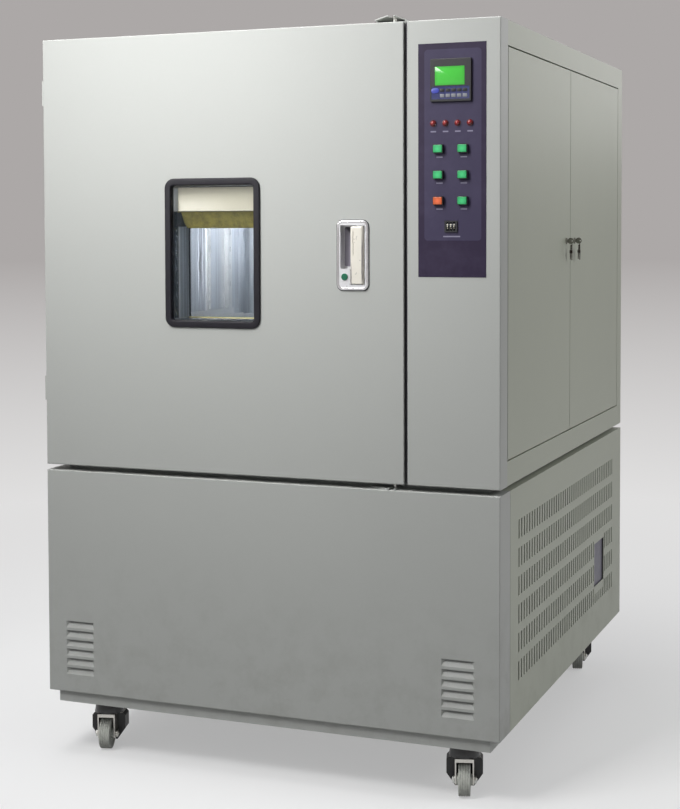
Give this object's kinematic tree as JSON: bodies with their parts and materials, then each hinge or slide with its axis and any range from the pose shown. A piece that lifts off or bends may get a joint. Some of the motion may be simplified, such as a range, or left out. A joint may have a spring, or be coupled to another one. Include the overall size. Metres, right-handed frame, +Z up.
{
  "type": "environmental test chamber",
  "caption": "Free-standing temperature and humidity test chamber on casters with windowed main door, side control column, machine base and flush latch.",
  "frame": {"origin": "on the floor under the middle of the cabinet", "axes": "front faces -Y, right side towards +X, +Z up"},
  "size_m": [1.21, 1.3376, 1.7935],
  "materials": {
    "powder_coat": "fine textured powder coat, light warm grey",
    "stainless": "bright brushed stainless",
    "foam_core": "rigid foam",
    "door_core": "stainless-faced foamed panel",
    "black_rubber": "matt black rubber",
    "silicone": "grey silicone",
    "clear_glass": "clear",
    "chrome": "polished",
    "green_plastic": "gloss",
    "orange_plastic": "gloss",
    "red_lens": "gloss translucent red",
    "black_plastic": "fine matt",
    "dial_white": "satin",
    "panel_film": "satin printed film",
    "zinc_steel": "zinc plated",
    "black_steel": "black enamel",
    "fins": "pressed fins",
    "motor_grey": "enamel",
    "breaker_grey": "moulded",
    "toggle_black": "moulded",
    "wheel_grey": "grey moulded tread"
  },
  "bodies": {
    "cabinet": {"chassis": "powder_coat", "lower_front_panel": "powder_coat", "lower_right_panel": "powder_coat", "lower_left_panel": "powder_coat", "lower_back_panel": "powder_coat", "outer_shell": "powder_coat", "liner": "stainless", "insulation": "foam_core", "fan_motor": "motor_grey", "rear_baffle": "stainless", "shelf_ladders": "stainless", "shelf": "stainless", "compressor": "black_steel", "condenser": "fins", "column_front": "powder_coat", "side_frame": "powder_coat", "catch_plates": "powder_coat", "hinge_fixed": "powder_coat", "control_overlay": "panel_film", "controller": "black_plastic", "lamps": "red_lens", "switch_collars": "black_plastic", "dial_case": "black_plastic", "breaker": "breaker_grey", "caster_plates": "zinc_steel"},
    "main_door": {"door_shell": "powder_coat", "door_plug": "door_core", "window_frame": "black_rubber", "window_panes": "clear_glass", "door_seal": "silicone", "latch_tray": "chrome", "hinge_moving": "powder_coat"},
    "lever": {"latch_lever": "chrome"},
    "lever_release": {"latch_button": "green_plastic"},
    "upper_bolt": {"bolt_upper": "zinc_steel"},
    "lower_bolt": {"bolt_lower": "zinc_steel"},
    "front_side_door": {"side_door_front": "powder_coat"},
    "rear_side_door": {"side_door_rear": "powder_coat"},
    "front_side_lock": {"side_lock_front": "zinc_steel"},
    "rear_side_lock": {"side_lock_rear": "zinc_steel"},
    "toggle": {"breaker_toggle": "toggle_black"},
    "air_fan": {"circulation_fan": "stainless"},
    "cooling_fan": {"condenser_fan": "black_steel"},
    "switch_1": {"push_button_1": "green_plastic"},
    "switch_2": {"push_button_2": "green_plastic"},
    "switch_3": {"push_button_3": "green_plastic"},
    "switch_4": {"push_button_4": "green_plastic"},
    "switch_5": {"push_button_5": "orange_plastic"},
    "switch_6": {"push_button_6": "green_plastic"},
    "dial_1": {"setting_dial_1": "dial_white"},
    "dial_2": {"setting_dial_2": "dial_white"},
    "dial_3": {"setting_dial_3": "dial_white"},
    "caster_1_fork": {"caster_fork_1": "black_steel"},
    "caster_1_wheel": {"caster_wheel_1": "wheel_grey"},
    "caster_2_fork": {"caster_fork_2": "black_steel"},
    "caster_2_wheel": {"caster_wheel_2": "wheel_grey"},
    "caster_3_fork": {"caster_fork_3": "black_steel"},
    "caster_3_wheel": {"caster_wheel_3": "wheel_grey"},
    "caster_4_fork": {"caster_fork_4": "black_steel"},
    "caster_4_wheel": {"caster_wheel_4": "wheel_grey"}
  },
  "joints": [
    {"name": "door_hinge", "type": "hinge", "parent": "cabinet", "child": "main_door", "pos_m": [-0.597, -0.602, 1.253], "axis": [0, 0, -1], "range_deg": [0, 110]},
    {"name": "lever_swing", "type": "hinge", "parent": "main_door", "child": "lever", "pos_m": [0.259, -0.657, 1.251], "axis": [0, 0, 1], "range_deg": [0, 45]},
    {"name": "release_push", "type": "slide", "parent": "main_door", "child": "lever_release", "axis": [0, 1, 0], "range_m": [0, 0.003], "stiffness_N_per_m": 700},
    {"name": "upper_bolt_draw", "type": "slide", "parent": "main_door", "child": "upper_bolt", "axis": [0, 0, -1], "range_m": [0, 0.01]},
    {"name": "lower_bolt_draw", "type": "slide", "parent": "main_door", "child": "lower_bolt", "axis": [0, 0, 1], "range_m": [0, 0.0101]},
    {"name": "front_side_hinge", "type": "hinge", "parent": "cabinet", "child": "front_side_door", "pos_m": [0.579, -0.589, 1.253], "axis": [0, 0, -1], "range_deg": [0, 110]},
    {"name": "rear_side_hinge", "type": "hinge", "parent": "cabinet", "child": "rear_side_door", "pos_m": [0.579, 0.5915, 1.253], "axis": [0, 0, 1], "range_deg": [0, 110]},
    {"name": "front_lock_turn", "type": "hinge", "parent": "front_side_door", "child": "front_side_lock", "pos_m": [0.575, -0.0405, 1.279], "axis": [1, 0, 0], "range_deg": [0, 90]},
    {"name": "rear_lock_turn", "type": "hinge", "parent": "rear_side_door", "child": "rear_side_lock", "pos_m": [0.575, 0.0485, 1.279], "axis": [-1, 0, 0], "range_deg": [0, 90]},
    {"name": "switch_1_push", "type": "slide", "parent": "cabinet", "child": "switch_1", "axis": [0, 1, 0], "range_m": [0, 0.0035], "stiffness_N_per_m": 600},
    {"name": "switch_2_push", "type": "slide", "parent": "cabinet", "child": "switch_2", "axis": [0, 1, 0], "range_m": [0, 0.0035], "stiffness_N_per_m": 600},
    {"name": "switch_3_push", "type": "slide", "parent": "cabinet", "child": "switch_3", "axis": [0, 1, 0], "range_m": [0, 0.0035], "stiffness_N_per_m": 600},
    {"name": "switch_4_push", "type": "slide", "parent": "cabinet", "child": "switch_4", "axis": [0, 1, 0], "range_m": [0, 0.0035], "stiffness_N_per_m": 600},
    {"name": "switch_5_push", "type": "slide", "parent": "cabinet", "child": "switch_5", "axis": [0, 1, 0], "range_m": [0, 0.0035], "stiffness_N_per_m": 600},
    {"name": "switch_6_push", "type": "slide", "parent": "cabinet", "child": "switch_6", "axis": [0, 1, 0], "range_m": [0, 0.0035], "stiffness_N_per_m": 600},
    {"name": "dial_1_turn", "type": "hinge", "parent": "cabinet", "child": "dial_1", "pos_m": [0.4635, -0.6538, 1.3165], "axis": [1, 0, 0], "continuous": true},
    {"name": "dial_2_turn", "type": "hinge", "parent": "cabinet", "child": "dial_2", "pos_m": [0.4711, -0.6538, 1.3165], "axis": [1, 0, 0], "continuous": true},
    {"name": "dial_3_turn", "type": "hinge", "parent": "cabinet", "child": "dial_3", "pos_m": [0.4787, -0.6538, 1.3165], "axis": [1, 0, 0], "continuous": true},
    {"name": "toggle_throw", "type": "hinge", "parent": "cabinet", "child": "toggle", "pos_m": [0.562, 0.367, 0.366], "axis": [0, 1, 0], "range_deg": [-25, 25]},
    {"name": "air_fan_spin", "type": "hinge", "parent": "cabinet", "child": "air_fan", "pos_m": [-0.10925, 0.45, 1.463], "axis": [0, 1, 0], "continuous": true},
    {"name": "cooling_fan_spin", "type": "hinge", "parent": "cabinet", "child": "cooling_fan", "pos_m": [0.27, 0.2, 0.348], "axis": [1, 0, 0], "continuous": true},
    {"name": "caster_1_swivel", "type": "hinge", "parent": "cabinet", "child": "caster_1_fork", "pos_m": [-0.472, -0.556, 0.088], "axis": [0, 0, 1], "continuous": true},
    {"name": "caster_1_roll", "type": "hinge", "parent": "caster_1_fork", "child": "caster_1_wheel", "pos_m": [-0.46483, -0.58099, 0.0375], "axis": [0.9613, 0.2756, 0], "continuous": true},
    {"name": "caster_2_swivel", "type": "hinge", "parent": "cabinet", "child": "caster_2_fork", "pos_m": [0.472, -0.556, 0.088], "axis": [0, 0, 1], "continuous": true},
    {"name": "caster_2_roll", "type": "hinge", "parent": "caster_2_fork", "child": "caster_2_wheel", "pos_m": [0.47917, -0.58099, 0.0375], "axis": [0.9613, 0.2756, 0], "continuous": true},
    {"name": "caster_3_swivel", "type": "hinge", "parent": "cabinet", "child": "caster_3_fork", "pos_m": [-0.472, 0.585, 0.088], "axis": [0, 0, 1], "continuous": true},
    {"name": "caster_3_roll", "type": "hinge", "parent": "caster_3_fork", "child": "caster_3_wheel", "pos_m": [-0.46483, 0.56001, 0.0375], "axis": [0.9613, 0.2756, 0], "continuous": true},
    {"name": "caster_4_swivel", "type": "hinge", "parent": "cabinet", "child": "caster_4_fork", "pos_m": [0.472, 0.585, 0.088], "axis": [0, 0, 1], "continuous": true},
    {"name": "caster_4_roll", "type": "hinge", "parent": "caster_4_fork", "child": "caster_4_wheel", "pos_m": [0.47917, 0.56001, 0.0375], "axis": [0.9613, 0.2756, 0], "continuous": true}
  ],
  "couplings": [
    {"joint": "lever_swing", "follows": "upper_bolt_draw", "rad_per_m": 78.5},
    {"joint": "lower_bolt_draw", "follows": "upper_bolt_draw", "ratio": 1}
  ]
}
